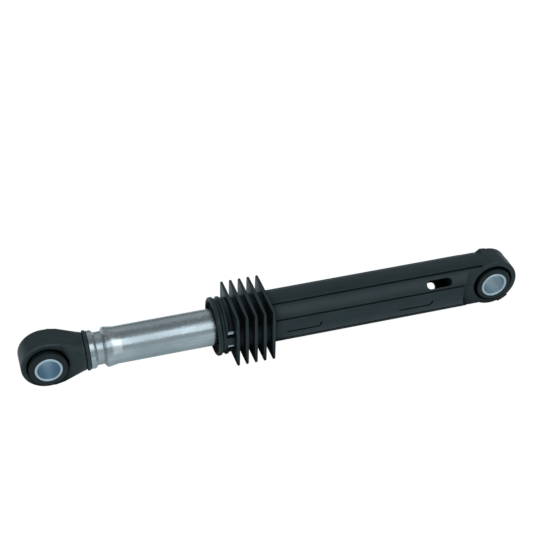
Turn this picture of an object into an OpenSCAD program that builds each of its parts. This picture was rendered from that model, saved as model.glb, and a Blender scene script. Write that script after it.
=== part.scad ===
// Friction shock absorber of a washing machine drum: a moulded housing with a finned mouth,
// and a steel tube that slides in it, with a rubber-bushed eye at each end.
// Origin: centre of the bore in the housing's eye. X runs along the absorber, with the rod
// end at minus X. Both eyes have their axes along Y. Z is up.
// Words used below: "depth" is the distance from the housing's eye towards the rod end, and
// "reach" is the distance from the rod's eye back towards the housing.

/* [Length and travel] */
// Distance between the two eye bores as the absorber lies at rest
eye_spacing = 212.4; // [208:0.2:216]
// How far the rod can be pushed in from rest
travel_in = 40; // [34:1:41]
// How far the rod can be pulled out from rest
travel_out = 38; // [34:1:40]
// Free length left at each end stop
stop_gap = 0.5; // [0.3:0.1:1]

/* [Fits] */
// Clearance on radius where one piece slides or turns in another
run_gap = 0.05; // [0.03:0.01:0.08]
// Clearance on radius where a piece is pushed or snapped in for good
seat_gap = 0.03; // [0.02:0.01:0.05]

/* [Rod tube] */
// Outside diameter of the tube
tube_d = 17.1; // [16.6:0.1:17.4]
// Wall of the tube
tube_wall = 1; // [0.8:0.1:1.2]
// Outside diameter of the crimped neck beside the rod end
neck_d = 15; // [14.4:0.1:15.4]
// Length of the crimped neck
neck_len = 3; // [2.4:0.1:3.6]
// Outside diameter of the tube's mouth, before the neck
lead_d = 17.5; // [17:0.1:17.8]
// Length of the tube's mouth, before the neck
lead_len = 2.4; // [1.8:0.1:3]
// Outside diameter of the swelling behind the neck
swell_d = 18.3; // [17.8:0.1:18.6]
// Length over which each end of the neck rises
neck_slope = 1.2; // [0.8:0.1:1.6]
// Length over which the swelling runs back into the plain tube
swell_fade = 3.6; // [2.5:0.1:5]

/* [Housing barrel] */
// Outside diameter of the barrel
barrel_d = 24.2; // [23.8:0.1:25]
// Diameter of the bore that the piston ring runs in
bore_d = 18.8; // [18.4:0.1:19]
// Depth at which the bore ends
bore_end = 18.5; // [17.5:0.5:20]
// Depth of the mouth's outer end
mouth_end = 135.8; // [135:0.2:139]
// Width of each of the four lengthwise bands
band_w = 10.8; // [9:0.2:12]
// Width of the fine grooves beside the bands
groove_w = 0.8; // [0.5:0.1:1.2]
// Depth of the fine grooves
groove_deep = 0.55; // [0.3:0.05:0.8]

/* [Fins] */
// Number of cooling fins
fin_count = 5; // [3:1:5]
// Width of each square fin, from front to back
fin_wide = 29.4; // [27:0.2:31]
// Height of each square fin
fin_high = 27.4; // [27:0.2:31]
// Diameter that rounds the corners of the fins
fin_d = 39.6; // [38.4:0.1:40.4]
// Distance from fin to fin
fin_pitch = 4.2; // [3.8:0.1:4.4]
// Thickness of a fin at its rim
fin_rim = 1; // [0.8:0.1:1.3]
// Thickness of a fin at its root
fin_root = 1.7; // [1.4:0.1:2]
// Depth of the fin nearest to the mouth
fin_outer = 127.4; // [126.6:0.2:128]
// Outside diameter of the core between the fins
core_d = 23.8; // [23.4:0.1:24.4]
// Diameter over the front and back bands where they cross the fins
rail_d = 25.6; // [25:0.1:26.2]

/* [Mouth] */
// Diameter of the lip
lip_d = 27.2; // [26.8:0.1:28]
// Width of the lip
lip_w = 2; // [1.6:0.1:2.4]
// Diameter of the bead behind the lip
bead_d = 26.9; // [26.4:0.1:27.4]
// Width of the bead behind the lip
bead_w = 1.5; // [1.2:0.1:1.8]
// Distance from the outer end of the mouth to the middle of the bead
bead_back = 4.3; // [4:0.1:4.8]
// Diameter of the chamber that holds the lining
chamber_d = 21.6; // [21.2:0.1:21.8]
// Inside diameter of the mouth's flare at its outer end
flare_d = 24.4; // [23.6:0.1:25]
// Length of the flare
flare_len = 1.8; // [1:0.1:1.9]
// Distance from the outer end of the mouth to the snap windows
window_back = 3.5; // [3.2:0.1:3.8]
// Width of each snap window, round the barrel
window_w = 3.1; // [2.6:0.1:3.4]
// Length of each snap window
window_len = 4.3; // [3.8:0.1:4.6]
// Width of the bridge between a pair of snap windows
bridge_w = 4; // [3.4:0.1:4.6]

/* [Vent slot] */
// Depth of the middle of the vent slot
slot_mid = 28.8; // [27:0.2:34]
// Length of the vent slot
slot_len = 12.4; // [8:0.2:13]
// Width of the vent slot
slot_w = 4; // [3:0.1:4.5]
// Angle of the vent slot, up from the front band
slot_turn = 42; // [38:1:50]

/* [Curled grooves] */
// Length of each curled groove along the front and back bands
curl_len = 16.4; // [12:0.2:18]
// Radius of the curl
curl_r = 2.2; // [1.6:0.1:2.6]
// How far each groove lies below the middle of its band
curl_low = 1; // [0.6:0.1:1.4]
// Distance from the middle of the vent slot to the first curl
curl_after_slot = 4.2; // [3:0.2:6]
// Distance from the second groove's outer end to the fins
curl_before_fins = 7; // [6:0.5:12]

/* [Housing eye] */
// Diameter of the eye's front half
eye_front_d = 23.8; // [23:0.1:24.4]
// Diameter of the eye's back half
eye_back_d = 23.4; // [22:0.1:24]
// Width of the eye and of the web that carries it
eye_w = 12.4; // [11.6:0.2:12.8]
// Radius that is cut clear round the eye, where it meets the web
clear_r = 16.2; // [15.4:0.2:16.6]
// How much wider that clearance is at the barrel's surface
clear_flare = 1.5; // [0.8:0.1:2]
// How far the pad under the eye stands out
pad_high = 0.5; // [0.3:0.1:0.8]
// Angle at which the pad begins, from the end of the housing
pad_from = -125; // [-135:1:-110]
// Angle at which the pad ends and the nub begins
nub_from = -71; // [-76:1:-66]
// Angle at which the nub ends
nub_to = -47; // [-55:1:-40]
// How far the nub beside the pad stands out
nub_high = 1.6; // [1:0.1:1.8]
// Length of the shoulder where the back of the eye meets the barrel
shoulder_len = 5.4; // [4.6:0.2:6]
// Height of that shoulder above the back half of the eye
shoulder_high = 0.3; // [0.2:0.1:0.4]

/* [Rod eye] */
// Diameter of the rod's eye
rod_eye_d = 23.8; // [23.4:0.1:24.6]
// Width of the rod's eye
rod_eye_w = 11.6; // [11:0.2:13]
// Reach at which the web starts to widen towards the collar
web_flat = 6.5; // [5.5:0.5:8]
// Reach of the collar's end face, where the tube begins
collar_end = 18.8; // [18:0.2:20]
// Diameter of the collar's lip
collar_lip_d = 18.4; // [18:0.1:19]
// Diameter of the collar behind its lip
collar_d = 17.6; // [17.2:0.1:18]
// Width of the collar's lip
collar_lip_w = 1.3; // [1:0.1:1.6]
// Length of the round collar, with its lip
collar_len = 3.2; // [2.6:0.1:4]
// Length of the spigot inside the tube
spigot_len = 17; // [14:0.5:22]

/* [Bushes] */
// Diameter of the hole that each rubber bush sits in
seat_d = 19.2; // [18.8:0.1:19.6]
// Outside diameter of the metal sleeves
sleeve_d = 12.5; // [12.1:0.1:12.8]
// Length of the metal sleeve in the housing's eye
housing_sleeve_len = 16; // [15.4:0.2:17]
// Length of the metal sleeve in the rod's eye
rod_sleeve_len = 18; // [17:0.2:19]
// Bore of the metal sleeves
pin_bore_d = 10.1; // [10:0.1:10.4]
// Diameter of the bushes' end faces
bush_face_d = 15.6; // [15:0.1:16.4]
// How far each sleeve stands proud of its bush, at each end
sleeve_proud = 0.25; // [0.1:0.05:0.5]
// How deep the rim of each bush lies below the face of its eye
bush_sunk = 0.8; // [0.4:0.1:1.2]

/* [Pieces inside] */
// Length of each of the two guide rings
guide_len = 3; // [2.6:0.1:3.2]
// Length of the piston ring
piston_len = 6; // [5:0.5:7]
// Diameter of the journal that the piston ring turns on
journal_d = 12; // [11:0.5:13]
// Thickness of the plug's head and of its shoulder
plug_rim = 1.4; // [1:0.1:1.8]
// Length of the plug inside the tube
plug_len = 12; // [8:1:16]
// Width of the slit in the lining
lining_slit = 1; // [0.6:0.1:1.6]

/* [Hidden] */

round_fn = 96;
blend_fn = 64;
cut = 1;
edge = 0.4;
lap = 0.1;
pad_lap = 1;

tube_r = tube_d / 2;
tube_bore_r = tube_r - tube_wall;
barrel_r = barrel_d / 2;
bore_r = bore_d / 2;
chamber_r = chamber_d / 2;
core_r = core_d / 2;
rail_r = rail_d / 2;
lip_r = lip_d / 2;
bead_r = bead_d / 2;
web_half = eye_w / 2;
seat_r = seat_d / 2;
sleeve_r = sleeve_d / 2;
band_angle = asin(band_w / 2 / barrel_r);

plug_start = bore_end + stop_gap + travel_in;
journal_start = plug_start + plug_rim;
journal_len = piston_len + 2 * run_gap;
tube_stop = journal_start + journal_len + plug_rim;
piston_start = journal_start + run_gap;
inner_guide_start = piston_start + piston_len + travel_out + stop_gap;
lining_start = inner_guide_start + guide_len + seat_gap;

window_outer = mouth_end - window_back;
window_inner = window_outer - window_len;
window_offset = bridge_w / 2;
lug_len = edge * 2;
mouth_guide_start = window_outer - lug_len;
mouth_guide_end = mouth_guide_start + guide_len;
lining_end = window_inner - edge;
fin_inner = fin_outer - (fin_count - 1) * fin_pitch;

collar_start = collar_end - collar_len;
neck_start = collar_end + lead_len;
neck_end = neck_start + neck_slope + neck_len;
swell_start = neck_end + neck_slope;

// Solid turned about the absorber's axis from points [radius, depth]
module turned(points) {
    rotate([0, -90, 0])
        rotate_extrude($fn = round_fn)
            polygon(points);
}

// Solid turned about the absorber's axis from points [radius, reach]
module turned_on_rod(points) {
    translate([-eye_spacing, 0, 0])
        rotate([0, 90, 0])
            rotate_extrude($fn = round_fn)
                polygon(points);
}

// Solid turned about an eye's axis from points [radius, distance to the front]
module turned_in_eye(x, points) {
    translate([x, 0, 0])
        rotate([90, 0, 0])
            rotate_extrude($fn = round_fn)
                polygon(points);
}

// Bar along the absorber between two depths, standing on its axis on the side given
module bar(side, from, to, height, width, low = 0) {
    rotate([side, 0, 0])
        translate([-to, -height, -width / 2])
            cube([to - from, height - low, width]);
}

// Section of one fin, which is thinner at its corners than at its root
function fin_section(mid) =
    let (bevel = edge / 2, rim = fin_rim / 2, root = fin_root / 2, r = fin_d / 2)
    [
        [core_r - edge, mid - root], [r - bevel, mid - rim], [r, mid - rim + bevel],
        [r, mid + rim - bevel], [r - bevel, mid + rim], [core_r - edge, mid + root]
    ];

// Outline of the moulded body, from the eye to the mouth
function body_section() =
    let (throat_r = (core_r + bead_r) / 2, lip_start = mouth_end - lip_w)
    [
        [0, 0], [eye_back_d / 2 - lap, 0], [barrel_r, eye_w / 2],
        [barrel_r, fin_inner], [core_r, fin_inner],
        [core_r, window_inner + edge], [throat_r, window_inner + edge * 2],
        [throat_r, lip_start - edge], [lip_r, lip_start + edge],
        [lip_r, mouth_end - edge], [lip_r - edge, mouth_end], [0, mouth_end]
    ];

// Square fins across the barrel, with their sides along Y and Z
module fins() {
    intersection() {
        union() {
            for (i = [0 : fin_count - 1])
                turned(fin_section(fin_inner + i * fin_pitch));
        }
        translate([-fin_outer - fin_pitch, -fin_wide / 2, -fin_high / 2])
            cube([(fin_count + 1) * fin_pitch, fin_wide, fin_high]);
    }
}

// Front and back bands, which stand on the core between the fins
module rails() {
    intersection() {
        turned([
            [0, fin_inner], [rail_r, fin_inner],
            [rail_r, mouth_end - lip_w - edge], [0, mouth_end - lip_w - edge]
        ]);
        union() {
            for (side = [0, 180])
                bar(side, fin_inner, mouth_end - lip_w - edge, rail_r + cut, band_w);
        }
    }
}

// Bead behind the lip, broken where the two bands pass
module bead() {
    mid = mouth_end - bead_back;
    difference() {
        turned([
            [chamber_r, mid - bead_w / 2], [bead_r - edge, mid - bead_w / 2],
            [bead_r, mid - bead_w / 2 + edge], [bead_r, mid + bead_w / 2 - edge],
            [bead_r - edge, mid + bead_w / 2], [chamber_r, mid + bead_w / 2]
        ]);
        for (side = [0, 180])
            bar(side, mid - bead_w, mid + bead_w, bead_r + cut, band_w);
    }
}

// Raised sector on the eye's front half, between two angles from the end of the housing
module eye_sector(from, to, radius, inset) {
    inner = seat_r - edge;
    back = inset / 2;
    front = web_half - inset;
    rotate([90, 0, 0])
        rotate([0, 0, from])
            rotate_extrude(angle = to - from, $fn = round_fn)
                translate([inner, back])
                    square([radius - inner, front - back]);
}

// Shoulder on the back half, ramped from the barrel to the top and bottom of the eye
module eye_shoulder() {
    top = eye_back_d / 2 + shoulder_high;
    low = sqrt(barrel_r * barrel_r - web_half * web_half) - edge;
    translate([0, web_half, 0])
        rotate([90, 0, 0])
            linear_extrude(height = web_half)
                polygon([
                    [0, top - shoulder_high], [-shoulder_len / 2, top], [-shoulder_len, low],
                    [-shoulder_len, -low], [-shoulder_len / 2, -top], [0, shoulder_high - top]
                ]);
}

// Eye of the housing, with its two halves of unlike diameter
module housing_eye_barrel() {
    front = eye_front_d / 2;
    back = eye_back_d / 2;
    eye_sector(pad_from, nub_from + pad_lap, front + pad_high, 2 * edge);
    eye_sector(nub_from, nub_to, front + nub_high, 3 * edge);
    eye_shoulder();
    turned_in_eye(0, [
        [0, -web_half], [back - edge, -web_half], [back, edge - web_half], [back, 0],
        [front, 0], [front, web_half - edge], [front - edge, web_half], [0, web_half]
    ]);
}

// Bore, lining chamber and flared mouth
module housing_cavity() {
    turned([
        [0, bore_end], [bore_r - edge, bore_end], [bore_r, bore_end + edge],
        [bore_r, inner_guide_start], [chamber_r, inner_guide_start],
        [chamber_r, mouth_end - flare_len], [flare_d / 2, mouth_end],
        [flare_d / 2, mouth_end + cut], [0, mouth_end + cut]
    ]);
}

// Room on both sides of the web, cut round the eye's axis and flared towards the outside
module eye_clearance() {
    flare = clear_r + clear_flare * (barrel_r + cut - web_half) / (barrel_r - web_half);
    for (side = [-1, 1])
        turned_in_eye(0, [
            [0, side * web_half], [clear_r, side * web_half],
            [flare, side * (barrel_r + cut)], [0, side * (barrel_r + cut)]
        ]);
}

// Slot through both walls on the diagonal, near the closed end
module vent_slot() {
    half = (slot_len - slot_w) / 2;
    translate([-slot_mid, 0, 0])
        rotate([90 - slot_turn, 0, 0])
            linear_extrude(height = 2 * barrel_d, center = true)
                union() {
                    translate([-half, 0]) circle(d = slot_w, $fn = round_fn);
                    translate([half, 0]) circle(d = slot_w, $fn = round_fn);
                    square([2 * half, slot_w], center = true);
                }
}

// Pairs of windows, in the front band and in the back one
module snap_windows() {
    for (side = [0, 180], up = [-1, 1])
        translate([0, 0, up * (window_offset + window_w / 2)])
            bar(side, window_inner, window_outer, rail_r + cut, window_w, bore_r - cut);
}

// Fine grooves along both sides of each band
module band_grooves() {
    for (side = [0 : 90 : 270], turn = [-1, 1])
        rotate([side + turn * band_angle, 0, 0])
            translate([-(fin_inner - fin_root), -barrel_r - cut, -groove_w / 2])
                cube([fin_inner - fin_root - web_half, cut + groove_deep, groove_w]);
}

// Fine groove that runs along a band and curls up at its inner end
module curl_groove(from) {
    inner = barrel_r - groove_deep;
    for (side = [0, 180])
        rotate([0, 0, side]) {
            translate([-from - curl_len, -inner - cut - groove_deep, -curl_low - groove_w / 2])
                cube([curl_len - curl_r, cut + groove_deep, groove_w]);
            translate([-from - curl_r, -inner, curl_r - curl_low])
                rotate([90, 0, 0])
                    rotate_extrude(angle = -90, $fn = round_fn)
                        translate([curl_r - groove_w / 2, 0])
                            square([groove_w, cut + groove_deep]);
        }
}

// Moulded housing: eye, barrel, cooling fins and mouth in one piece
module housing() {
    color("#2c3335")
        difference() {
            union() {
                difference() {
                    union() {
                        turned(body_section());
                        fins();
                        rails();
                        bead();
                    }
                    eye_clearance();
                    band_grooves();
                }
                housing_eye_barrel();
            }
            housing_cavity();
            turned_in_eye(0, [
                [0, -eye_w], [seat_r, -eye_w], [seat_r, eye_w], [0, eye_w]
            ]);
            vent_slot();
            snap_windows();
            curl_groove(slot_mid + curl_after_slot);
            curl_groove(fin_inner - curl_before_fins - curl_len);
        }
}

// Ring that guides the tube at the mouth, with snap lugs and fingers that hold the lining
module mouth_guide() {
    ring_r = chamber_r - seat_gap;
    lug_w = window_w - 2 * edge;
    color("#23282a")
        union() {
            turned([
                [tube_r + run_gap, mouth_guide_start], [ring_r, mouth_guide_start],
                [ring_r, mouth_guide_end - edge], [ring_r - edge, mouth_guide_end],
                [tube_r + run_gap, mouth_guide_end]
            ]);
            for (side = [0, 180], up = [-1, 1])
                translate([0, 0, up * (window_offset + window_w / 2)])
                    bar(side, mouth_guide_start, window_outer - lap,
                        core_r, lug_w, tube_r + edge);
            intersection() {
                turned([
                    [tube_r + edge, lining_end + seat_gap], [ring_r, lining_end + seat_gap],
                    [ring_r, mouth_guide_start + edge],
                    [tube_r + edge, mouth_guide_start + edge]
                ]);
                union() {
                    for (side = [0 : 90 : 270])
                        bar(side, lining_end, mouth_guide_end, core_r, bridge_w - edge);
                }
            }
        }
}

// Ring that guides the tube behind the lining and stops the piston ring
module inner_guide() {
    ring_r = chamber_r - seat_gap;
    color("#23282a")
        turned([
            [tube_r + run_gap, inner_guide_start], [ring_r, inner_guide_start],
            [ring_r, inner_guide_start + guide_len],
            [tube_r + run_gap, inner_guide_start + guide_len]
        ]);
}

// Greased foam strip, rolled round the tube with a slit where its ends meet
module friction_lining() {
    color("#8a7f63")
        difference() {
            turned([
                [tube_r + run_gap, lining_start], [chamber_r - seat_gap, lining_start],
                [chamber_r - seat_gap, lining_end], [tube_r + run_gap, lining_end]
            ]);
            bar(90, lining_start - cut, lining_end + cut, chamber_r + cut, lining_slit);
        }
}

// Steel tube with a crimped neck near the rod's eye
module rod_tube() {
    last = eye_spacing - tube_stop;
    lead_r = lead_d / 2;
    neck_r = neck_d / 2;
    swell_r = swell_d / 2;
    color("#aeb9c0")
        turned_on_rod([
            [lead_r - tube_wall, collar_end], [lead_r - edge, collar_end],
            [lead_r, collar_end + edge], [lead_r, neck_start],
            [neck_r, neck_start + neck_slope], [neck_r, neck_end],
            [swell_r, swell_start], [swell_r, swell_start + neck_slope],
            [tube_r, swell_start + neck_slope + swell_fade], [tube_r, last],
            [tube_bore_r, last], [tube_bore_r, swell_start + neck_slope + swell_fade],
            [swell_r - tube_wall, swell_start + neck_slope],
            [swell_r - tube_wall, swell_start], [neck_r - tube_wall, neck_end],
            [neck_r - tube_wall, neck_start + neck_slope], [lead_r - tube_wall, neck_start]
        ]);
}

// Web of the rod's eye: it leaves the eye with flat sides and ends as the round collar
module rod_eye_web() {
    eye_r = rod_eye_d / 2;
    collar_r = collar_d / 2;
    lean = atan2(collar_start, collar_r) - acos(eye_r / norm([collar_start, collar_r]));
    touch = [eye_r * sin(lean), eye_r * cos(lean)];
    flat_high = touch[1] - (web_flat - touch[0]) * tan(lean);
    translate([-eye_spacing, 0, 0]) {
        rotate([90, 0, 0])
            linear_extrude(height = rod_eye_w, center = true)
                polygon([
                    touch, [web_flat, flat_high], [web_flat, -flat_high],
                    [touch[0], -touch[1]], [0, -touch[1] + edge], [0, touch[1] - edge]
                ]);
        hull() {
            translate([web_flat - lap, -rod_eye_w / 2, -flat_high])
                cube([lap, rod_eye_w, 2 * flat_high]);
            translate([collar_start, 0, 0])
                rotate([0, 90, 0])
                    cylinder(h = edge, r = collar_r, $fn = blend_fn);
        }
    }
}

// Collar of the rod end and its spigot, which the tube's neck is crimped on
module rod_collar() {
    collar_r = collar_d / 2;
    lip = collar_lip_d / 2;
    lip_start = collar_end - collar_lip_w;
    groove = collar_r - edge;
    spigot_r = tube_bore_r - seat_gap;
    lead_r = lead_d / 2 - tube_wall - seat_gap;
    neck_r = neck_d / 2 - tube_wall - seat_gap;
    turned_on_rod([
        [0, seat_r], [rod_eye_w / 2 - edge, seat_r],
        [rod_eye_w / 2 - edge, collar_start], [collar_r, collar_start],
        [collar_r, lip_start - edge * 2], [groove, lip_start - edge * 2],
        [groove, lip_start], [lip - edge / 2, lip_start],
        [lip, lip_start + edge / 2], [lip, collar_end - edge / 2],
        [lip - edge / 2, collar_end], [lead_r, collar_end],
        [lead_r, neck_start - seat_gap], [neck_r, neck_start + neck_slope - seat_gap],
        [neck_r, neck_end + seat_gap], [spigot_r, swell_start],
        [spigot_r, collar_end + spigot_len - edge],
        [spigot_r - edge, collar_end + spigot_len], [0, collar_end + spigot_len]
    ]);
}

// Moulded rod end: eye, web, collar and spigot in one piece
module rod_end_eye() {
    eye_r = rod_eye_d / 2;
    half = rod_eye_w / 2;
    color("#2c3335")
        difference() {
            union() {
                turned_in_eye(-eye_spacing, [
                    [0, -half], [eye_r - edge, -half], [eye_r, edge - half],
                    [eye_r, half - edge], [eye_r - edge, half], [0, half]
                ]);
                rod_eye_web();
                rod_collar();
            }
            turned_in_eye(-eye_spacing, [
                [0, -rod_eye_w], [seat_r, -rod_eye_w], [seat_r, rod_eye_w], [0, rod_eye_w]
            ]);
        }
}

// Plug in the tube's inner end, with the journal that carries the piston ring
module rod_plug() {
    head_r = journal_d / 2 + edge * 2;
    color("#d8d4c4")
        turned([
            [0, plug_start], [head_r - edge, plug_start], [head_r, plug_start + edge],
            [head_r, journal_start], [journal_d / 2, journal_start],
            [journal_d / 2, journal_start + journal_len],
            [tube_r, journal_start + journal_len], [tube_r, tube_stop],
            [tube_bore_r - seat_gap, tube_stop],
            [tube_bore_r - seat_gap, tube_stop + plug_len], [0, tube_stop + plug_len]
        ]);
}

// Ring that runs in the housing's bore and turns on the plug
module piston_ring() {
    color("#23282a")
        turned([
            [journal_d / 2 + run_gap, piston_start],
            [bore_r - run_gap - edge, piston_start],
            [bore_r - run_gap, piston_start + edge],
            [bore_r - run_gap, piston_start + piston_len],
            [journal_d / 2 + run_gap, piston_start + piston_len]
        ]);
}

// Rubber bush with tapered ends, between an eye and its sleeve
module bush(x, half_eye, sleeve_len) {
    half = sleeve_len / 2 - sleeve_proud;
    rim = half_eye - bush_sunk;
    inner = sleeve_r + seat_gap;
    outer = seat_r - seat_gap;
    color("#30373a")
        turned_in_eye(x, [
            [inner, -half], [bush_face_d / 2, -half], [outer, -rim],
            [outer, rim], [bush_face_d / 2, half], [inner, half]
        ]);
}

module housing_bush() {
    bush(0, web_half, housing_sleeve_len);
}

module rod_bush() {
    bush(-eye_spacing, rod_eye_w / 2, rod_sleeve_len);
}

// Metal sleeve that the mounting pin goes through
module sleeve(x, sleeve_len) {
    half = sleeve_len / 2;
    bore = pin_bore_d / 2;
    bevel = edge / 2;
    color("#b9c2c8")
        turned_in_eye(x, [
            [bore + bevel, -half], [sleeve_r - bevel, -half], [sleeve_r, bevel - half],
            [sleeve_r, half - bevel], [sleeve_r - bevel, half], [bore + bevel, half],
            [bore, half - bevel], [bore, bevel - half]
        ]);
}

module housing_sleeve() {
    sleeve(0, housing_sleeve_len);
}

module rod_sleeve() {
    sleeve(-eye_spacing, rod_sleeve_len);
}

housing();
mouth_guide();
inner_guide();
friction_lining();
rod_tube();
rod_end_eye();
rod_plug();
piston_ring();
housing_bush();
housing_sleeve();
rod_bush();
rod_sleeve();
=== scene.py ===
"""Finishes of a washing machine shock absorber, put on its CAD model for a studio picture."""

import logging
import math
from dataclasses import dataclass, field
from enum import Enum

import bmesh
import bpy
from mathutils import Matrix, Vector


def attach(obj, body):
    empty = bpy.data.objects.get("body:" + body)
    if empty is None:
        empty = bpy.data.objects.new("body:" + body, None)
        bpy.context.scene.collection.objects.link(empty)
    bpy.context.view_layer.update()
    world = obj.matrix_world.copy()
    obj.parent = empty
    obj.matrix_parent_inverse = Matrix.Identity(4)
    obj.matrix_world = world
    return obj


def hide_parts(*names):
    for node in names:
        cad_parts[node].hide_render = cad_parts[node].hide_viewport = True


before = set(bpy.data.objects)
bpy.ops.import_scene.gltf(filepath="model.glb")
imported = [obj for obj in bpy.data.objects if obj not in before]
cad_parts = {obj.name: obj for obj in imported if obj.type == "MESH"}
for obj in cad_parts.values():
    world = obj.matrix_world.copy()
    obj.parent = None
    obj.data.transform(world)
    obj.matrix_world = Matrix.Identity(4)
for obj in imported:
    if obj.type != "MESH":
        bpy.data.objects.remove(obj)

LOG = logging.getLogger("shock_absorber")
MM = 0.001

Colour = tuple[float, float, float]
Triple = tuple[float, float, float]

# Places of the two eyes along the absorber
HOUSING_EYE_AT = 0.0
ROD_EYE_AT = -212.4 * MM

# Strength of a bump that is as deep as its distance says
BUMP_FULL = 1.0


class Slot(Enum):
    """Material slots of the part's record that a new piece can have."""

    PLUG = "plug"
    BUSH = "bush"


class Body(Enum):
    """Bodies of the CAD model that a new piece can ride on."""

    HOUSING = "housing"
    ROD = "rod"


class Direction(Enum):
    """Way that the grain of a metal runs."""

    ALONG_TUBE = "along the tube"
    ROUND_EYE = "round the eye"


class Wiring:
    """Nodes and links of one material or one shader group."""

    def __init__(self, tree: bpy.types.NodeTree) -> None:
        """Takes the node tree that is wired.

        Args:
            tree: The node tree of a material or a group.
        """
        self.tree = tree

    def add(self, kind: str, **values: object) -> bpy.types.Node:
        """Adds a node and sets its properties.

        Args:
            kind: Type name of the node, such as ShaderNodeMath.
            values: Properties of the node by name.

        Returns:
            The new node.
        """
        node = self.tree.nodes.new(kind)
        for name, value in values.items():
            setattr(node, name, value)
        return node

    def feed(self, node: bpy.types.Node, socket: str | int, value: object) -> None:
        """Links a socket into a node's input, or sets that input to a constant.

        Args:
            node: Node that is fed.
            socket: Name or place of its input.
            value: An output socket, a number, or a tuple of numbers.
        """
        if isinstance(value, bpy.types.NodeSocket):
            self.tree.links.new(value, node.inputs[socket])
        elif isinstance(value, tuple) and node.inputs[socket].type == "RGBA":
            node.inputs[socket].default_value = (*value[:3], 1.0)
        else:
            node.inputs[socket].default_value = value

    def maths(self, operation: str, first: object, second: object = 0.0,
              clamp: bool = False) -> bpy.types.NodeSocket:
        """Adds a Math node.

        Args:
            operation: Name of the operation, such as MULTIPLY.
            first: First value or socket.
            second: Second value or socket.
            clamp: Whether the result is held from 0 to 1.

        Returns:
            The socket of the result.
        """
        node = self.add("ShaderNodeMath", operation=operation, use_clamp=clamp)
        self.feed(node, 0, first)
        self.feed(node, 1, second)
        return node.outputs[0]

    def vectors(self, operation: str, first: object, second: object,
                output: str = "Vector") -> bpy.types.NodeSocket:
        """Adds a Vector Math node and returns the named output.

        Args:
            operation: Name of the operation, such as MULTIPLY.
            first: First vector or socket.
            second: Second vector or socket.
            output: Vector or Value.

        Returns:
            The socket of the result.
        """
        node = self.add("ShaderNodeVectorMath", operation=operation)
        self.feed(node, 0, first)
        self.feed(node, 1, second)
        return node.outputs[output]

    def ranged(self, value: object, low: float, high: float,
               to_low: object = 0.0, to_high: object = 1.0) -> bpy.types.NodeSocket:
        """Maps a value from one range to another, smoothly, and holds it there.

        Args:
            value: Value or socket that is mapped.
            low: Start of its range.
            high: End of its range.
            to_low: Result at the start.
            to_high: Result at the end.

        Returns:
            The socket of the result.
        """
        node = self.add("ShaderNodeMapRange", interpolation_type="SMOOTHSTEP")
        for name, part in (("Value", value), ("From Min", low), ("From Max", high),
                           ("To Min", to_low), ("To Max", to_high)):
            self.feed(node, name, part)
        return node.outputs["Result"]

    def blend(self, share: object, first: object, second: object) -> bpy.types.NodeSocket:
        """Mixes two colours.

        Args:
            share: Share of the second colour.
            first: First colour or socket.
            second: Second colour or socket.

        Returns:
            The socket of the mixed colour.
        """
        node = self.add("ShaderNodeMix", data_type="RGBA")
        self.feed(node, 0, share)
        self.feed(node, 6, first)
        self.feed(node, 7, second)
        return node.outputs[2]

    def noise(self, place: object, scale: object, detail: float = 3.0,
              rough: float = 0.5) -> bpy.types.NodeSocket:
        """Adds a noise texture and returns its value.

        Args:
            place: Coordinates.
            scale: Scale of the noise, in turns a metre.
            detail: Number of octaves.
            rough: How strong the finer octaves are.

        Returns:
            The socket of the noise's value.
        """
        node = self.add("ShaderNodeTexNoise")
        for name, part in (("Vector", place), ("Scale", scale), ("Detail", detail),
                           ("Roughness", rough)):
            self.feed(node, name, part)
        return node.outputs["Fac"]


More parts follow.
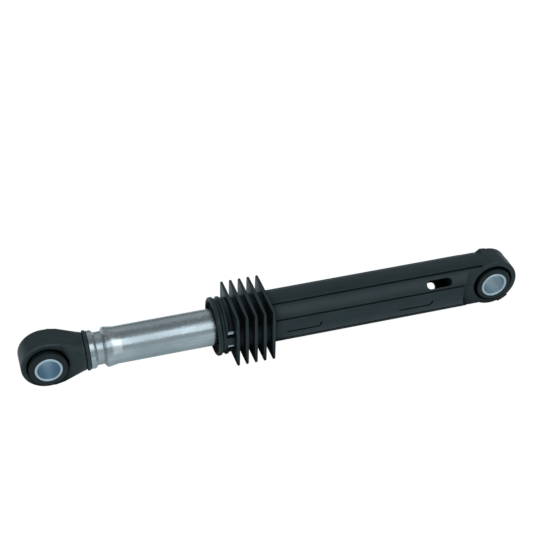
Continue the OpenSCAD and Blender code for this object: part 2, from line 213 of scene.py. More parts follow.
class SurfaceGroups:
    """Shader groups that several finishes share, each built once."""

    # How far the rounded normal leans from the flat one, as a cosine, on a face and on an edge
    FACE_LEAN = 0.995
    EDGE_LEAN = 0.8
    # Share of free sky, far down in a gap and on an open face, from which the painted gap
    # shade is mapped
    GAP_SKY = 0.45
    OPEN_SKY = 0.97
    # Streaks of the moulding's flow: their scale, how far they are drawn out, their contrast
    STREAK_SCALE = 1100.0
    STREAK_DRAWN = (0.08, 1.0, 1.0)
    STREAK_RANGE = (0.35, 0.65)
    # Handling marks: contrast of the patches, slant of the scratches, how thin they are
    PATCH_RANGE = (0.46, 0.68)
    SCRATCH_SLANT = (0.5, 0.9, 0.35)
    SCRATCH_DRAWN = (0.03, 1.0, 1.0)
    SCRATCH_RANGE = (0.69, 0.75)

    def __init__(self) -> None:
        """Builds the groups for edges, gaps, moulded grain and handling marks."""
        self.edges = self._rounded_edges()
        self.gaps = self._shaded_gaps()
        self.grain = self._moulded_grain()
        self.marks = self._handling_marks()

    @staticmethod
    def _new(name: str, inputs: dict[str, float],
             outputs: dict[str, str]) -> tuple[bpy.types.NodeTree, Wiring,
                                              bpy.types.Node, bpy.types.Node]:
        """Starts a group with its sockets.

        Args:
            name: Name of the group.
            inputs: Default of each float input by name.
            outputs: Socket type of each output by name.

        Returns:
            The group, its wiring, its input node and its output node.
        """
        group = bpy.data.node_groups.new(name, "ShaderNodeTree")
        for label, value in inputs.items():
            socket = group.interface.new_socket(label, in_out="INPUT",
                                                socket_type="NodeSocketFloat")
            socket.default_value = value
        for label, kind in outputs.items():
            group.interface.new_socket(label, in_out="OUTPUT", socket_type=kind)
        wiring = Wiring(group)
        return group, wiring, wiring.add("NodeGroupInput"), wiring.add("NodeGroupOutput")

    def _rounded_edges(self) -> bpy.types.NodeTree:
        """Rounds sharp edges in the normal and marks where they are.

        Returns:
            The group.
        """
        group, wiring, start, end = self._new(
            "rounded_edges", {"Radius": 0.2 * MM},
            {"Normal": "NodeSocketVector", "Edge": "NodeSocketFloat"})
        bevel = wiring.add("ShaderNodeBevel", samples=6)
        wiring.feed(bevel, "Radius", start.outputs["Radius"])
        flat = wiring.add("ShaderNodeNewGeometry")
        alike = wiring.vectors("DOT_PRODUCT", bevel.outputs["Normal"],
                               flat.outputs["Normal"], "Value")
        wiring.feed(end, "Normal", bevel.outputs["Normal"])
        wiring.feed(end, "Edge", wiring.ranged(alike, self.FACE_LEAN, self.EDGE_LEAN))
        return group

    def _shaded_gaps(self) -> bpy.types.NodeTree:
        """Marks how open the surface is, from 0 far down in a gap to 1 on a free face, for
        painted shade in gaps.

        Returns:
            The group.
        """
        group, wiring, start, end = self._new(
            "shaded_gaps", {"Reach": 11.0 * MM}, {"Open": "NodeSocketFloat"})
        shade = wiring.add("ShaderNodeAmbientOcclusion", samples=8)
        wiring.feed(shade, "Distance", start.outputs["Reach"])
        wiring.feed(end, "Open", wiring.ranged(
            shade.outputs["AO"], self.GAP_SKY, self.OPEN_SKY))
        return group

    def _moulded_grain(self) -> bpy.types.NodeTree:
        """Fine uneven skin of a moulding: a grain with slow waves under it.

        Returns:
            The group.
        """
        group, wiring, start, end = self._new(
            "moulded_grain", {"Grain Scale": 2500.0, "Wave Scale": 60.0, "Wave Share": 0.5},
            {"Height": "NodeSocketFloat", "Cloud": "NodeSocketFloat",
             "Streak": "NodeSocketFloat"})
        place = wiring.add("ShaderNodeTexCoord").outputs["Object"]
        grain = wiring.noise(place, start.outputs["Grain Scale"], 4.0, 0.6)
        wave = wiring.noise(place, start.outputs["Wave Scale"], 2.0, 0.45)
        wiring.feed(end, "Height", wiring.maths(
            "ADD", grain, wiring.maths("MULTIPLY", wave, start.outputs["Wave Share"])))
        wiring.feed(end, "Cloud", wave)
        drawn = wiring.vectors("MULTIPLY", place, self.STREAK_DRAWN)
        wiring.feed(end, "Streak", wiring.ranged(
            wiring.noise(drawn, self.STREAK_SCALE, 4.0, 0.65), *self.STREAK_RANGE))
        return group

    def _handling_marks(self) -> bpy.types.NodeTree:
        """Faint patches and fine scratches from handling and packing.

        Returns:
            The group.
        """
        group, wiring, start, end = self._new(
            "handling_marks", {"Patch Scale": 45.0, "Scratch Scale": 900.0, "Amount": 1.0},
            {"Patch": "NodeSocketFloat", "Scratch": "NodeSocketFloat"})
        place = wiring.add("ShaderNodeTexCoord").outputs["Object"]
        patch = wiring.ranged(
            wiring.noise(place, start.outputs["Patch Scale"], 5.0, 0.62),
            *self.PATCH_RANGE)
        turned = wiring.add("ShaderNodeMapping")
        wiring.feed(turned, "Vector", place)
        turned.inputs["Rotation"].default_value = self.SCRATCH_SLANT
        turned.inputs["Scale"].default_value = self.SCRATCH_DRAWN
        scratch = wiring.ranged(
            wiring.noise(turned.outputs["Vector"], start.outputs["Scratch Scale"], 2.0),
            *self.SCRATCH_RANGE)
        wiring.feed(end, "Patch", wiring.maths(
            "MULTIPLY", patch, start.outputs["Amount"], clamp=True))
        wiring.feed(end, "Scratch", wiring.maths(
            "MULTIPLY", scratch, start.outputs["Amount"], clamp=True))
        return group


@dataclass(frozen=True)
class Finish:
    """What every finish has: its name, its colour and how dull it is."""

    name: str
    colour: Colour
    roughness: float

    def start(self) -> tuple[bpy.types.Material, Wiring, bpy.types.Node]:
        """Starts the material with its shader.

        Returns:
            The material, its wiring and its Principled shader.
        """
        material = bpy.data.materials.new(self.name)
        material.use_nodes = True
        material.diffuse_color = (*self.colour, 1.0)
        wiring = Wiring(material.node_tree)
        shader = material.node_tree.nodes["Principled BSDF"]
        shader.inputs["Base Color"].default_value = (*self.colour, 1.0)
        shader.inputs["Roughness"].default_value = self.roughness
        return material, wiring, shader

    @staticmethod
    def place(wiring: Wiring, group: bpy.types.NodeTree,
              **values: float) -> bpy.types.Node:
        """Puts a shared group in a material, with this finish's values.

        Args:
            wiring: Wiring of the material.
            group: The shared group.
            values: Value of each input, with _ for a space.

        Returns:
            The group's node.
        """
        node = wiring.add("ShaderNodeGroup", node_tree=group)
        for name, value in values.items():
            node.inputs[name.replace("_", " ").title()].default_value = value
        return node

    @staticmethod
    def relief(wiring: Wiring, shader: bpy.types.Node, height: bpy.types.NodeSocket,
               depth: float, normal: bpy.types.NodeSocket | None) -> None:
        """Turns a height into the shader's normal.

        Args:
            wiring: Wiring of the material.
            shader: The Principled shader.
            height: Height over the surface.
            depth: Depth of the relief, in metres.
            normal: Normal that it starts from, or None for the mesh's own.
        """
        bump = wiring.add("ShaderNodeBump")
        bump.inputs["Strength"].default_value = BUMP_FULL
        bump.inputs["Distance"].default_value = depth
        wiring.feed(bump, "Height", height)
        if normal is not None:
            wiring.feed(bump, "Normal", normal)
        wiring.feed(shader, "Normal", bump.outputs["Normal"])


@dataclass(frozen=True)
class MouldedPlastic(Finish):
    """Smooth black moulding, with a fine skin, flow clouds, paler edges that are a painted
    highlight, and painted shade in its gaps.
    """

    # Colour of streaks and scratches, and also of the painted highlight on the edges
    worn_and_painted_light: Colour = (0.07, 0.088, 0.092)
    cloud: Colour = (0.026, 0.04, 0.043)
    # Colour of the painted shade in gaps
    painted_gap_shade: Colour = (0.001, 0.002, 0.003)
    edge_radius: float = 0.2 * MM
    skin_depth: float = 0.012 * MM
    specular: float = 0.38
    # Share of the painted highlight on the edges
    painted_edge_highlight: float = 0.5
    streak: float = 0.16
    scuff: float = 0.25
    patch_dulling: float = 0.07
    scratch_dulling: float = 0.12
    gap_roughness: float = 0.9
    # Height towards the light above which the painted gap shade is lifted all the same, a
    # painted light on the high side; above any piece if unset
    crest: float = 1.0
    crest_rise: float = 4.0 * MM
    crest_share: float = 0.9
    light_side: Triple = (0.0, 0.6, 0.8)

    def build(self, groups: SurfaceGroups) -> bpy.types.Material:
        """Builds the material.

        Args:
            groups: The shared groups.

        Returns:
            The material.
        """
        material, wiring, shader = self.start()
        edges = self.place(wiring, groups.edges, radius=self.edge_radius)
        grain = self.place(wiring, groups.grain)
        marks = self.place(wiring, groups.marks)
        clouded = wiring.blend(grain.outputs["Cloud"], self.colour, self.cloud)
        body = wiring.blend(wiring.maths("MULTIPLY", grain.outputs["Streak"], self.streak),
                            clouded, self.worn_and_painted_light)
        scuffed = wiring.blend(wiring.maths("MULTIPLY", marks.outputs["Scratch"], self.scuff),
                               body, self.worn_and_painted_light)
        # Painted highlight: sharp edges turn paler
        painted_edge_highlight = wiring.maths("MULTIPLY", edges.outputs["Edge"], self.painted_edge_highlight, True)
        gaps = self.place(wiring, groups.gaps)
        height = wiring.vectors("DOT_PRODUCT", wiring.add(
            "ShaderNodeTexCoord").outputs["Object"], self.light_side, "Value")
        # Painted shade: the colour darkens where little sky reaches, and is lifted as painted
        # light on the side towards the light
        free = wiring.maths("MAXIMUM", gaps.outputs["Open"], wiring.ranged(
            height, self.crest, self.crest + self.crest_rise, 0.0, self.crest_share))
        wiring.feed(shader, "Base Color", wiring.blend(
            free, self.painted_gap_shade, wiring.blend(painted_edge_highlight, scuffed, self.worn_and_painted_light)))
        dull = wiring.maths("MULTIPLY_ADD", marks.outputs["Patch"], self.patch_dulling)
        wiring.feed(dull.node, 2, wiring.ranged(
            free, 0.0, 1.0, self.gap_roughness, self.roughness))
        wiring.feed(shader, "Roughness", wiring.maths("ADD", dull, wiring.maths(
            "MULTIPLY", marks.outputs["Scratch"], self.scratch_dulling), True))
        shader.inputs["Specular IOR Level"].default_value = self.specular
        self.relief(wiring, shader, grain.outputs["Height"], self.skin_depth,
                    edges.outputs["Normal"])
        return material


@dataclass(frozen=True)
class Steel(Finish):
    """Bare metal with a grain along the tube or round an eye."""

    tint: Colour = (0.5, 0.53, 0.55)
    painted_gap_shade: Colour = (0.1, 0.11, 0.115)
    reach: float = 3.0 * MM
    direction: Direction = Direction.ALONG_TUBE
    centre: float = 0.0
    edge_radius: float = 0.15 * MM
    line_depth: float = 0.004 * MM
    wave_depth: float = 0.05 * MM
    drawn_scale: float = 950.0
    turned_scale: float = 5200.0
    wave_scale: float = 320.0
    spangle_scale: float = 850.0
    patch_scale: float = 70.0
    patch_share: float = 0.5
    line_share: float = 0.6
    patch_dulling: float = 0.09
    line_dulling: float = 0.06

    def _lines(self, wiring: Wiring) -> bpy.types.NodeSocket:
        """Fine lines that drawing or turning leaves.

        Args:
            wiring: Wiring of the material.

        Returns:
            The socket of the lines' height.
        """
        place = wiring.add("ShaderNodeTexCoord").outputs["Object"]
        if self.direction is Direction.ALONG_TUBE:
            turned = wiring.add("ShaderNodeMapping")
            wiring.feed(turned, "Vector", place)
            turned.inputs["Scale"].default_value = (0.015, 1.0, 1.0)
            return wiring.noise(turned.outputs["Vector"], self.drawn_scale, 4.0, 0.7)
        moved = wiring.vectors("SUBTRACT", place, (self.centre, 0.0, 0.0))
        flat = wiring.vectors("MULTIPLY", moved, (1.0, 0.0, 1.0))
        reach = wiring.vectors("LENGTH", flat, (0.0, 0.0, 0.0), "Value")
        split = wiring.add("ShaderNodeSeparateXYZ")
        wiring.feed(split, 0, place)
        rings = wiring.add("ShaderNodeCombineXYZ")
        wiring.feed(rings, 0, reach)
        wiring.feed(rings, 1, split.outputs["Y"])
        return wiring.noise(rings.outputs[0], self.turned_scale, 2.0, 0.5)

    def build(self, groups: SurfaceGroups) -> bpy.types.Material:
        """Builds the material.

        Args:
            groups: The shared groups.

        Returns:
            The material.
        """
        material, wiring, shader = self.start()
        edges = self.place(wiring, groups.edges, radius=self.edge_radius)
        marks = self.place(wiring, groups.marks, patch_scale=self.patch_scale)
        lines = self._lines(wiring)
        clouded = wiring.blend(
            wiring.maths("MULTIPLY", marks.outputs["Patch"], self.patch_share),
            self.colour, self.tint)
        streaked = wiring.blend(wiring.ranged(lines, 0.4, 0.62, 0.0, self.line_share),
                                clouded, self.tint)
        # Painted shade: the colour turns to the shade colour where little sky reaches, in gaps
        # and bores
        gaps = self.place(wiring, groups.gaps, reach=self.reach)
        wiring.feed(shader, "Base Color", wiring.blend(
            gaps.outputs["Open"], self.painted_gap_shade, self.marked(wiring, streaked)))
        shader.inputs["Metallic"].default_value = 1.0
        dull = wiring.maths("MULTIPLY_ADD", marks.outputs["Patch"], self.patch_dulling)
        dull.node.inputs[2].default_value = self.roughness
        wiring.feed(shader, "Roughness", wiring.maths(
            "ADD", dull, wiring.maths("MULTIPLY", lines, self.line_dulling), True))
        self.relief(wiring, shader, lines, self.line_depth,
                    self._waves(wiring, edges.outputs["Normal"]))
        return material

    def marked(self, wiring: Wiring, colour: bpy.types.NodeSocket) -> bpy.types.NodeSocket:
        """Adds the marks of one kind of piece, which plain steel has none of.

        Args:
            wiring: Wiring of the material.
            colour: Colour of the steel.

        Returns:
            The socket of the marked colour.
        """
        return colour

    def _waves(self, wiring: Wiring, normal: bpy.types.NodeSocket) -> bpy.types.NodeSocket:
        """Slow waves and the mottled spangle of a zinc skin.

        Args:
            wiring: Wiring of the material.
            normal: Normal that they start from.

        Returns:
            The socket of the uneven normal.
        """
        place = wiring.add("ShaderNodeTexCoord").outputs["Object"]
        drawn = wiring.vectors("MULTIPLY", place, (0.22, 1.0, 1.0))
        height = wiring.maths("ADD", wiring.noise(drawn, self.wave_scale, 2.0, 0.5),
                              wiring.noise(place, self.spangle_scale, 2.0, 0.6))
        bump = wiring.add("ShaderNodeBump")
        bump.inputs["Distance"].default_value = self.wave_depth
        wiring.feed(bump, "Height", height)
        wiring.feed(bump, "Normal", normal)
        return bump.outputs["Normal"]


@dataclass(frozen=True)
class WeldedTube(Steel):
    """Drawn tube with a mottled, painted dark reflection in a strip along it and a painted
    highlight patch by its crimp.

    Turns are in degrees, up from the tube's front.
    """

    # Painted dark reflection: colour, turn and half width of a mottled darker strip along the
    # tube
    painted_dark_reflection: Colour = (0.42, 0.42, 0.42)
    painted_dark_reflection_turn: float = 73.0
    painted_dark_reflection_half: float = 12.0
    radius: float = 8.55 * MM
    # Painted highlight: place, half length, turn and spread of a bright patch facing the
    # light, and its colour
    highlight_at: float = -180.9 * MM
    highlight_half: float = 2.9 * MM
    highlight_turn: float = 38.0
    highlight_spread: float = 30.0
    painted_highlight: Colour = (1.0, 1.0, 1.0)
    # Painted dark line in the lower highlight: its turn and half width
    line_turn: float = 29.0
    line_half: float = 7.0
    dull_at: float = -163.0 * MM
    dull_half: float = 17.0 * MM
    dull_share: float = 0.6
    speck_scale: float = 1500.0

    def marked(self, wiring: Wiring, colour: bpy.types.NodeSocket) -> bpy.types.NodeSocket:
        """Adds the painted dark reflection's mottled strip, the dull middle, the thin painted
        dark line and the painted highlight patch.

        Args:
            wiring: Wiring of the material.
            colour: Colour of the steel.

        Returns:
            The socket of the marked colour.
        """
        place = wiring.add("ShaderNodeTexCoord").outputs["Object"]
        specks = wiring.ranged(wiring.noise(wiring.vectors(
            "MULTIPLY", place, (0.4, 1.0, 1.0)), self.speck_scale, 3.0, 0.7), 0.36, 0.56)
        # Painted dark reflection: a mottled darker strip along the tube
        strip = self._strip(wiring, place, self.painted_dark_reflection_turn, self.painted_dark_reflection_half)
        with_painted_dark_reflection = wiring.blend(wiring.maths("MULTIPLY", strip, specks), colour, self.painted_dark_reflection)
        split = wiring.add("ShaderNodeSeparateXYZ")
        wiring.feed(split, 0, place)
        away = self._away(wiring, split.outputs["X"], self.highlight_at)
        dull = wiring.ranged(self._away(wiring, split.outputs["X"], self.dull_at),
                             self.dull_half, self.dull_half * 0.3)
        # Painted dark line in the lower highlight
        line = self._strip(wiring, place, self.line_turn, self.line_half)
        worn_and_painted_light = wiring.blend(wiring.maths("MULTIPLY", wiring.maths(
            "MAXIMUM", wiring.maths("MULTIPLY", dull, self.dull_share), line),
            wiring.maths("MULTIPLY_ADD", specks, 0.5)), with_painted_dark_reflection, self.tint)
        # Painted highlight: a bright patch by the crimp, on the side facing the light
        patch = wiring.maths(
            "MULTIPLY", wiring.ranged(away, self.highlight_half, self.highlight_half * 0.4),
            self._strip(wiring, place, self.highlight_turn, self.highlight_spread))
        return wiring.blend(patch, worn_and_painted_light, self.painted_highlight)

    @staticmethod
    def _away(wiring: Wiring, along: bpy.types.NodeSocket,
              middle: float) -> bpy.types.NodeSocket:
        """Distance along the tube from one place on it.

        Args:
            wiring: Wiring of the material.
            along: Coordinate along the tube.
            middle: The place.

        Returns:
            The socket of the distance.
        """
        return wiring.maths("ABSOLUTE", wiring.maths("SUBTRACT", along, middle))

    def _strip(self, wiring: Wiring, place: bpy.types.NodeSocket, turn: float,
               half: float) -> bpy.types.NodeSocket:
        """Masks a strip along the tube.

        Args:
            wiring: Wiring of the material.
            place: Coordinates.
            turn: How far the strip lies round from the tube's front, in degrees.
            half: Half of its width, in degrees.

        Returns:
            The socket of the mask.
        """
        angle = math.radians(turn)
        middle = (0.0, -math.cos(angle) / self.radius, math.sin(angle) / self.radius)
        facing = wiring.vectors("DOT_PRODUCT", place, middle, "Value")
        return wiring.ranged(facing, math.cos(math.radians(half)),
                             math.cos(math.radians(half / 3)))


@dataclass(frozen=True)
class Rubber(Finish):
    """Moulded rubber with a dusty bloom and a fine rough skin."""

    bloom: Colour = (0.024, 0.034, 0.035)
    painted_gap_shade: Colour = (0.001, 0.002, 0.002)
    reach: float = 6.0 * MM
    skin_depth: float = 0.02 * MM
    roughness_swing: float = 0.06
    specular: float = 0.34

    def build(self, groups: SurfaceGroups) -> bpy.types.Material:
        """Builds the material.

        Args:
            groups: The shared groups.

        Returns:
            The material.
        """
        material, wiring, shader = self.start()
        grain = self.place(wiring, groups.grain, grain_scale=3200.0, wave_scale=160.0,
                           wave_share=0.8)
        marks = self.place(wiring, groups.marks, patch_scale=120.0)
        # Painted shade: the colour darkens where little sky reaches, next to the eye's faces
        gaps = self.place(wiring, groups.gaps, reach=self.reach)
        wiring.feed(shader, "Base Color", wiring.blend(
            gaps.outputs["Open"], self.painted_gap_shade, wiring.blend(
                marks.outputs["Patch"], self.colour, self.bloom)))
        wiring.feed(shader, "Roughness", wiring.ranged(
            grain.outputs["Cloud"], 0.3, 0.7, self.roughness - self.roughness_swing,
            self.roughness + self.roughness_swing))
        shader.inputs["Specular IOR Level"].default_value = self.specular
        self.relief(wiring, shader, grain.outputs["Height"], self.skin_depth, None)
        return material


@dataclass(frozen=True)
class Foam(Finish):
    """Open foam soaked with grease: pores in a warm, glistening ground."""

    pore: Colour = (0.09, 0.07, 0.035)
    pore_scale: float = 1500.0
    pore_depth: float = 0.25 * MM
    grease: float = 0.2

    def build(self, groups: SurfaceGroups) -> bpy.types.Material:
        """Builds the material.

        Args:
            groups: The shared groups.

        Returns:
            The material.
        """
        material, wiring, shader = self.start()
        grain = self.place(wiring, groups.grain, grain_scale=900.0, wave_scale=150.0)
        cells = wiring.add("ShaderNodeTexVoronoi")
        wiring.feed(cells, "Vector", wiring.add("ShaderNodeTexCoord").outputs["Object"])
        cells.inputs["Scale"].default_value = self.pore_scale
        wall = wiring.ranged(cells.outputs["Distance"], 0.1, 0.55)
        wiring.feed(shader, "Base Color", wiring.blend(wall, self.pore, self.colour))
        wiring.feed(shader, "Roughness", wiring.ranged(
            grain.outputs["Cloud"], 0.35, 0.65, self.roughness - self.grease,
            self.roughness))
        self.relief(wiring, shader, wall, self.pore_depth, None)
        return material


def linked(name: str, data: bpy.types.ID) -> bpy.types.Object:
    """Makes an object in the scene, at the origin.

    Args:
        name: Name of the object.
        data: Its mesh, light or camera.

    Returns:
        The object.
    """
    made = bpy.data.objects.new(name, data)
    bpy.context.scene.collection.objects.link(made)
    return made


def finished(mesh: bmesh.types.BMesh, name: str,
             material: bpy.types.Material) -> bpy.types.Object:
    """Makes a piece of a finished bmesh, and frees it.

    Args:
        mesh: The bmesh.
        name: Name of the piece.
        material: Its material.

    Returns:
        The piece, in the scene.
    """
    data = bpy.data.meshes.new(name)
    mesh.to_mesh(data)
    mesh.free()
    data.materials.append(material)
    return linked(name, data)


class Paints:
    """Materials of the absorber, each built once from its finish."""

    def __init__(self) -> None:
        """Builds the groups that the finishes share."""
        self.groups = SurfaceGroups()
        self.made: dict[str, bpy.types.Material] = {}

    def of(self, finish: Finish) -> bpy.types.Material:
        """Gives the material of a finish.

        Args:
            finish: The finish.

        Returns:
            Its material, built the first time that it is asked for.
        """
        if finish.name not in self.made:
            self.made[finish.name] = finish.build(self.groups)
        return self.made[finish.name]

    def coat(self, node: str, finish: Finish) -> None:
        """Puts a finish on a CAD node.

        Args:
            node: Name of the node.
            finish: The finish.
        """
        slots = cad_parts[node].data.materials
        slots.clear()
        slots.append(self.of(finish))
        LOG.info("finish %s on %s", finish.name, node)


GUIDE_FINISH = MouldedPlastic("guide_black", (0.01, 0.018, 0.02), 0.42,
                              cloud=(0.014, 0.022, 0.025), edge_radius=0.12 * MM)
BUSH_FINISH = Rubber("bush_rubber", (0.012, 0.019, 0.02), 0.5)


def turned_sleeve(name: str, centre: float, bore: Colour) -> Steel:
    """Finish of a turned sleeve round one of the eyes.

    Args:
        name: Name of the material.
        centre: Place of the eye along the absorber.
        bore: Colour of the painted shade inside its bore.

    Returns:
        The finish.
    """
    # Painted shade: the sleeve turns to the bore colour where little sky reaches, inside its
    # bore
    return Steel(name, (0.74, 0.83, 0.9), 0.34, tint=(0.62, 0.72, 0.8), painted_gap_shade=bore,
                 reach=9.0 * MM, direction=Direction.ROUND_EYE, centre=centre,
                 edge_radius=0.3 * MM, line_depth=0.001 * MM, wave_depth=0.004 * MM)


@dataclass
class RubberBush:
    """Rubber bush between an eye and its sleeve, with rounded ends to its two cones."""

    name: str
    node: str
    body: Body
    centre: float
    inner_radius: float = 6.28 * MM
    face_radius: float = 7.3 * MM
    boss_radius: float = 8.3 * MM
    root_radius: float = 8.6 * MM
    outer_radius: float = 9.57 * MM
    half_length: float = 7.75 * MM
    face_drop: float = 0.35 * MM
    half_moat: float = 3.6 * MM
    round_over: float = 0.3 * MM
    round_segments: int = 4
    steps: int = 96
    weld: float = 0.001 * MM

    def _section(self) -> list[tuple[float, float]]:
        """Lists the corners of the section.

        Returns:
            Each corner's radius and its place along the eye's axis.
        """
        half = [
            (self.inner_radius, self.half_length), (self.face_radius, self.half_length),
            (self.boss_radius, self.half_length - self.face_drop),
            (self.root_radius, self.half_moat), (self.outer_radius, self.half_moat),
        ]
        return half + [(radius, -along) for radius, along in reversed(half)]

    def build(self, material: bpy.types.Material) -> bpy.types.Object:
        """Spins the rounded section round the eye's axis.

        Args:
            material: Material of the bush.

        Returns:
            The bush, standing for its CAD node and riding on its body.
        """
        mesh = bmesh.new()
        corners = [mesh.verts.new((self.centre + radius, along, 0.0))
                   for radius, along in self._section()]
        for first, second in zip(corners, corners[1:] + corners[:1]):
            mesh.edges.new((first, second))
        bmesh.ops.bevel(mesh, geom=list(mesh.verts), offset=self.round_over,
                        offset_type="OFFSET", affect="VERTICES",
                        segments=self.round_segments, profile=0.5, material=-1)
        bmesh.ops.spin(mesh, geom=list(mesh.verts) + list(mesh.edges),
                       cent=(self.centre, 0.0, 0.0), axis=(0.0, 1.0, 0.0),
                       dvec=(0.0, 0.0, 0.0), angle=math.tau, steps=self.steps,
                       use_merge=True, use_duplicate=False)
        bmesh.ops.remove_doubles(mesh, verts=list(mesh.verts), dist=self.weld)
        bmesh.ops.recalc_face_normals(mesh, faces=list(mesh.faces))
        piece = finished(mesh, self.name, material)
        piece.data.shade_smooth()
        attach(piece, self.body.value)
        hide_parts(self.node)
        return piece


@dataclass
class SnapTongues:
    """Glossy tongues of the mouth's guide, one in each snap window."""

    name: str = "snap_tongues"
    outer_end: float = 132.2 * MM
    length: float = 3.9 * MM
    width: float = 2.0 * MM
    top: float = 11.4 * MM
    height: float = 1.8 * MM
    aside: float = 3.6 * MM
    crown: float = 0.8 * MM
    crown_segments: int = 4

    def build(self, material: bpy.types.Material) -> bpy.types.Object:
        """Makes the four tongues as bevelled blocks.

        Args:
            material: Material of the tongues.

        Returns:
            The tongues, riding on the housing.
        """
        mesh = bmesh.new()
        size = Matrix.Diagonal((self.length, self.height, self.width, 1.0))
        for front in (-1.0, 1.0):
            for up in (-1.0, 1.0):
                centre = Vector((self.length / 2 - self.outer_end,
                                 front * (self.top - self.height / 2), up * self.aside))
                bmesh.ops.create_cube(mesh, size=1.0,
                                      matrix=Matrix.Translation(centre) @ size)
        bmesh.ops.bevel(mesh, geom=list(mesh.edges), offset=self.crown,
                        offset_type="OFFSET", affect="EDGES",
                        segments=self.crown_segments, profile=0.5, material=-1)
        bmesh.ops.recalc_face_normals(mesh, faces=list(mesh.faces))
        piece = finished(mesh, self.name, material)
        piece.data.shade_smooth()
        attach(piece, Body.HOUSING.value)
        return piece


@dataclass
class HousingAssembly:
    """Finned housing with its two guides, its lining, its bushed eye and its snap tongues."""

    paints: Paints
    bush: RubberBush = field(default_factory=lambda: RubberBush(
        "housing_bush_rubber", "housing_bush", Body.HOUSING, HOUSING_EYE_AT))
    tongues: SnapTongues = field(default_factory=SnapTongues)
    moulding: MouldedPlastic = MouldedPlastic(
        "moulding_black", (0.015, 0.027, 0.03), 0.34, edge_radius=0.4 * MM,
        crest=9.0 * MM, painted_edge_highlight=0.3)
    foam: Foam = Foam("greased_foam", (0.34, 0.29, 0.18), 0.7)
    tongue: MouldedPlastic = MouldedPlastic(
        "tongue_pale", (0.8, 0.9, 0.96), 0.16, worn_and_painted_light=(0.85, 0.92, 0.97),
        cloud=(0.76, 0.87, 0.95), painted_gap_shade=(0.7, 0.82, 0.9), specular=0.6)
    # Colour of the painted shade inside the sleeve's bore
    bore: Colour = (0.74, 0.84, 0.88)

    def dress(self) -> None:
        """Puts the finishes on the housing's CAD nodes."""
        sleeve = turned_sleeve("housing_sleeve_steel", HOUSING_EYE_AT, self.bore)
        for node, finish in (("housing", self.moulding), ("mouth_guide", GUIDE_FINISH),
                             ("inner_guide", GUIDE_FINISH), ("friction_lining", self.foam),
                             ("housing_sleeve", sleeve)):
            self.paints.coat(node, finish)

    def build(self) -> list[bpy.types.Object]:
        """Makes the eye's bush and the tongues, and returns them."""
        return [self.bush.build(self.paints.of(BUSH_FINISH)),
                self.tongues.build(self.paints.of(self.tongue))]


@dataclass
class SliderAssembly:
    """Piston ring, which slides without turning and needs no new piece."""

    paints: Paints

    def dress(self) -> None:
        """Puts the guides' finish on the ring."""
        self.paints.coat("piston_ring", GUIDE_FINISH)

    def build(self) -> list[bpy.types.Object]:
        """Makes nothing: the CAD node has the ring's whole shape."""
        return []


@dataclass
class RodAssembly:
    """Steel tube with its plug and its moulded end, round a bushed eye."""

    paints: Paints
    bush: RubberBush = field(default_factory=lambda: RubberBush(
        "rod_bush_rubber", "rod_bush", Body.ROD, ROD_EYE_AT, boss_radius=8.7 * MM,
        root_radius=8.8 * MM, half_length=8.75 * MM))
    tube: WeldedTube = WeldedTube("drawn_steel", (0.71, 0.735, 0.75), 0.17)
    moulding: MouldedPlastic = MouldedPlastic(
        "moulding_rod_end", (0.014, 0.026, 0.026), 0.34, streak=0.05,
        painted_gap_shade=(0.0, 0.0, 0.0), worn_and_painted_light=(0.2, 0.25, 0.25), edge_radius=0.5 * MM, painted_edge_highlight=1.7)
    plug: MouldedPlastic = MouldedPlastic(
        "plug_natural", (0.62, 0.59, 0.5), 0.4, worn_and_painted_light=(0.7, 0.68, 0.6),
        cloud=(0.66, 0.63, 0.55), painted_gap_shade=(0.3, 0.28, 0.22))
    # Colour of the painted shade inside the sleeve's bore
    bore: Colour = (0.44, 0.64, 0.78)

    def dress(self) -> None:
        """Puts the finishes on the rod's CAD nodes."""
        sleeve = turned_sleeve("rod_sleeve_steel", ROD_EYE_AT, self.bore)
        for node, finish in (("rod_tube", self.tube), ("rod_end_eye", self.moulding),
                             ("rod_plug", self.plug), ("rod_sleeve", sleeve)):
            self.paints.coat(node, finish)

    def build(self) -> list[bpy.types.Object]:
        """Makes the eye's bush, and returns it."""
        return [self.bush.build(self.paints.of(BUSH_FINISH))]


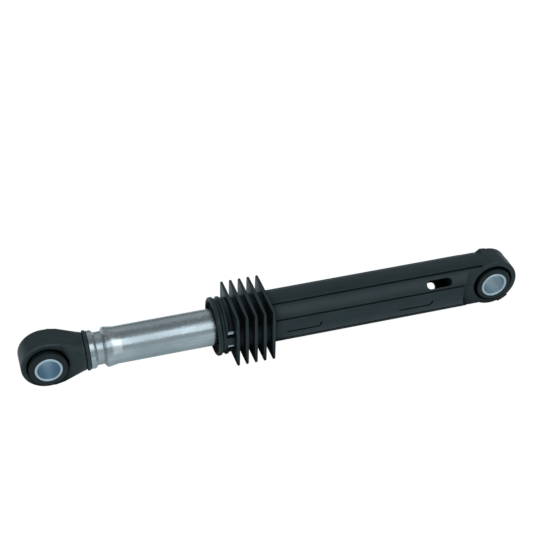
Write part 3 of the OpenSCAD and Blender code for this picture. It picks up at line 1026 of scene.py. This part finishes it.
@dataclass
class Studio:
    """Floor, soft lights and camera of the picture."""

    floor_drop: float = 13.8 * MM
    floor_half: float = 30.0
    floor_glow: float = 1.12
    floor_lift: float = 0.88
    floor_bounce: float = 0.2
    # Where the fins stand, and how far from them and from the middle a painted shadow darkens
    # the floor's glow that the absorber sees
    fins_at: float = -118.0 * MM
    fins_shade: tuple[float, float] = (12.0 * MM, 22.0 * MM)
    fins_aside: tuple[float, float] = (18.0 * MM, 32.0 * MM)
    middle_aside: tuple[float, float] = (4.0 * MM, 20.0 * MM)
    key_place: Triple = (0.13, -0.72, 0.93)
    key_size: tuple[float, float] = (1.2, 0.8)
    key_power: float = 2.5
    key_aim: Triple = (-0.105, 0.0, 0.0)
    floor_seen: Colour = (0.9, 0.9, 0.9)
    floor_bouncing: Colour = (0.82, 0.86, 0.88)
    floor_roughness: float = 0.9
    # Strength of the sky: behind, low and high, then in front, then the share left overhead
    sky_low: float = 0.12
    sky_high: float = 0.42
    sky_front: float = 0.48
    sky_roof: float = 0.7
    daylight: Colour = (0.8, 0.94, 1.0)
    eye: Triple = (-0.239145, -0.439221, 0.370983)
    azimuth: float = 14.482
    elevation: float = 38.639
    roll: float = 1.306
    focal: float = 1277.93
    centre: tuple[float, float] = (233.21, 308.544)
    frame_side: float = 533.0
    sensor: float = 36.0

    def build(self) -> None:
        """Sets up the whole studio."""
        self._floor()
        self._sky()
        self._softbox()
        self._camera()
        bpy.context.scene.view_settings.view_transform = "Standard"

    def _floor(self) -> None:
        """Lays a plain pale floor under the absorber."""
        mesh = bmesh.new()
        bmesh.ops.create_grid(mesh, x_segments=1, y_segments=1, size=self.floor_half)
        bmesh.ops.translate(mesh, verts=list(mesh.verts), vec=(0.0, 0.0, -self.floor_drop))
        finished(mesh, "floor", self._floor_material())

    def _floor_material(self) -> bpy.types.Material:
        """Builds the floor: white to the camera, and a soft bounce light to the absorber.

        Returns:
            The material.
        """
        material = bpy.data.materials.new("floor_white")
        material.use_nodes = True
        wiring = Wiring(material.node_tree)
        shader = material.node_tree.nodes["Principled BSDF"]
        shader.inputs["Roughness"].default_value = self.floor_roughness
        lit = wiring.add("ShaderNodeEmission")
        lit.inputs["Strength"].default_value = self.floor_glow
        mixed = wiring.add("ShaderNodeMixShader")
        seen = wiring.add("ShaderNodeLightPath").outputs["Is Camera Ray"]
        wiring.feed(lit, "Color", wiring.blend(seen, self.daylight, (1.0, 1.0, 1.0)))
        wiring.feed(shader, "Base Color", wiring.blend(
            seen, self.floor_bouncing, self.floor_seen))
        split = wiring.add("ShaderNodeSeparateXYZ")
        wiring.feed(split, 0, wiring.add("ShaderNodeTexCoord").outputs["Object"])
        aside = wiring.maths("ABSOLUTE", split.outputs["Y"])
        along = wiring.maths("ABSOLUTE", wiring.maths(
            "SUBTRACT", split.outputs["X"], self.fins_at))
        # Painted shadow: the glow that the absorber sees is darker under the fins and under
        # its middle
        painted_shadow_under_fins = wiring.maths(
            "MAXIMUM", wiring.ranged(along, *self.fins_shade, 0.1, 1.0),
            wiring.ranged(aside, *self.fins_aside))
        under = wiring.ranged(aside, *self.middle_aside, 0.5, 1.0)
        bounce = wiring.maths("MULTIPLY", wiring.maths("MULTIPLY", under, painted_shadow_under_fins),
                              self.floor_bounce)
        share = wiring.maths("MAXIMUM", wiring.maths("MULTIPLY", seen, self.floor_lift),
                             bounce)
        wiring.feed(mixed, 0, share)
        wiring.feed(mixed, 1, shader.outputs[0])
        wiring.feed(mixed, 2, lit.outputs[0])
        wiring.feed(material.node_tree.nodes["Material Output"], "Surface", mixed.outputs[0])
        return material

    def _sky(self) -> None:
        """Lights the studio softly, with a darker end behind and less from straight above."""
        world = bpy.data.worlds.new("studio")
        world.use_nodes = True
        wiring = Wiring(world.node_tree)
        back = world.node_tree.nodes["Background"]
        back.inputs["Color"].default_value = (*self.daylight, 1.0)
        split = wiring.add("ShaderNodeSeparateXYZ")
        wiring.feed(split, 0, wiring.add("ShaderNodeTexCoord").outputs["Generated"])
        rear = wiring.ranged(split.outputs["Z"], 0.05, 0.5, self.sky_low, self.sky_high)
        front = wiring.ranged(split.outputs["Y"], -0.5, 0.1, self.sky_front, 0.0)
        roof = wiring.ranged(split.outputs["Z"], 0.8, 1.0, 1.0, self.sky_roof)
        wiring.feed(back, "Strength", wiring.maths(
            "MULTIPLY", wiring.maths("MAXIMUM", rear, front), roof))
        bpy.context.scene.world = world

    def _softbox(self) -> None:
        """Hangs a soft rectangular light that faces the absorber."""
        light = bpy.data.lights.new("key", "AREA")
        light.shape = "RECTANGLE"
        light.size, light.size_y = self.key_size
        light.energy = self.key_power
        light.color = self.daylight
        lamp = linked("key", light)
        aim = Vector(self.key_aim) - Vector(self.key_place)
        lamp.location = self.key_place
        lamp.rotation_euler = aim.to_track_quat("-Z", "Y").to_euler()

    def _camera(self) -> None:
        """Puts the camera at the photograph's place and angle."""
        data = bpy.data.cameras.new("camera")
        data.sensor_width = self.sensor
        data.lens = self.focal / self.frame_side * data.sensor_width
        data.shift_x = 0.5 - self.centre[0] / self.frame_side
        data.shift_y = self.centre[1] / self.frame_side - 0.5
        data.clip_start = 0.01
        camera = linked("camera", data)
        turn = math.radians(self.azimuth)
        tilt = math.radians(self.elevation)
        ahead = Vector((math.sin(turn) * math.cos(tilt), math.cos(turn) * math.cos(tilt),
                        -math.sin(tilt)))
        level = ahead.cross(Vector((0.0, 0.0, 1.0))).normalized()
        right = Matrix.Rotation(math.radians(self.roll), 3, ahead) @ level
        up = right.cross(ahead)
        turned = Matrix((right, up, -ahead)).transposed()
        camera.matrix_world = Matrix.Translation(self.eye) @ turned.to_4x4()
        bpy.context.scene.camera = camera


def main() -> None:
    """Builds and dresses the absorber, and reports each piece."""
    logging.basicConfig(level=logging.INFO, format="%(name)s: %(message)s")
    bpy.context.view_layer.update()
    paints = Paints()
    for assembly in (HousingAssembly(paints), SliderAssembly(paints), RodAssembly(paints)):
        assembly.dress()
        for piece in assembly.build():
            LOG.info("built %s with %d faces", piece.name, len(piece.data.polygons))
    Studio().build()


if __name__ == "__main__":
    main()
